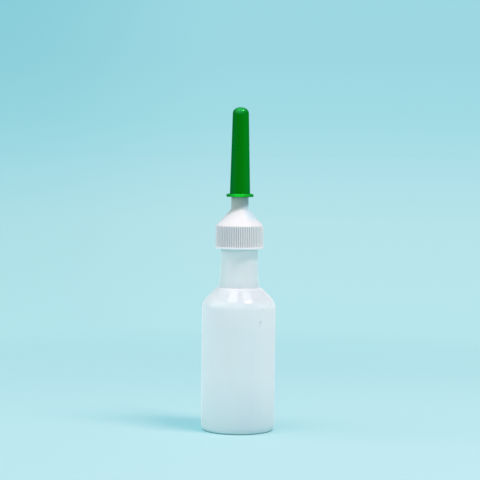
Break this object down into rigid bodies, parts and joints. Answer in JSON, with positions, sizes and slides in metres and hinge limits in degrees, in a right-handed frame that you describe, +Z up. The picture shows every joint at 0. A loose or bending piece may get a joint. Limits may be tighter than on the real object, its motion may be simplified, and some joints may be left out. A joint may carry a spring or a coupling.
{
  "type": "enema bottle",
  "caption": "Slim round squeeze bottle with a ribbed screw cap, a long dosing nozzle held by the cap, a slit valve under it and a pull-off tapered tip cover.",
  "frame": {"origin": "centre of the foot ring, on the surface that the bottle stands on", "axes": "+Z up along the bottle's axis, from the foot to the tip of the cover"},
  "size_m": [0.045, 0.045, 0.1971],
  "materials": {
    "milky_bottle": "translucent milky low-density polyethylene, satin",
    "washer_foam": "off-white sealing foam, matt",
    "nozzle_white": "smooth milky white polyethylene",
    "valve_rubber": "natural rubber, matt",
    "cap_white": "white polyethylene, satin, with fine grip ribs",
    "cover_green": "opaque glossy green"
  },
  "bodies": {
    "bottle": {"bottle": "milky_bottle"},
    "washer": {"seal_washer": "washer_foam"},
    "nozzle": {"nozzle": "nozzle_white", "valve": "valve_rubber"},
    "cap": {"screw_cap": "cap_white"},
    "cover": {"tip_cover": "cover_green"}
  },
  "joints": [
    {"name": "closure_lift", "type": "slide", "parent": "bottle", "child": "washer", "axis": [0, 0, 1], "range_m": [0, 0.04]},
    {"name": "closure_rise", "type": "slide", "parent": "washer", "child": "nozzle", "axis": [0, 0, 1], "range_m": [0, 0.0048]},
    {"name": "cap_turn", "type": "hinge", "parent": "nozzle", "child": "cap", "pos_m": [0, 0, 0.111], "axis": [0, 0, 1], "range_deg": [0, 540]},
    {"name": "cover_pull", "type": "slide", "parent": "cap", "child": "cover", "axis": [0, 0, 1], "range_m": [0, 0.06]}
  ],
  "couplings": [
    {"joint": "closure_rise", "follows": "cap_turn", "m_per_rad": 0.00050532}
  ]
}
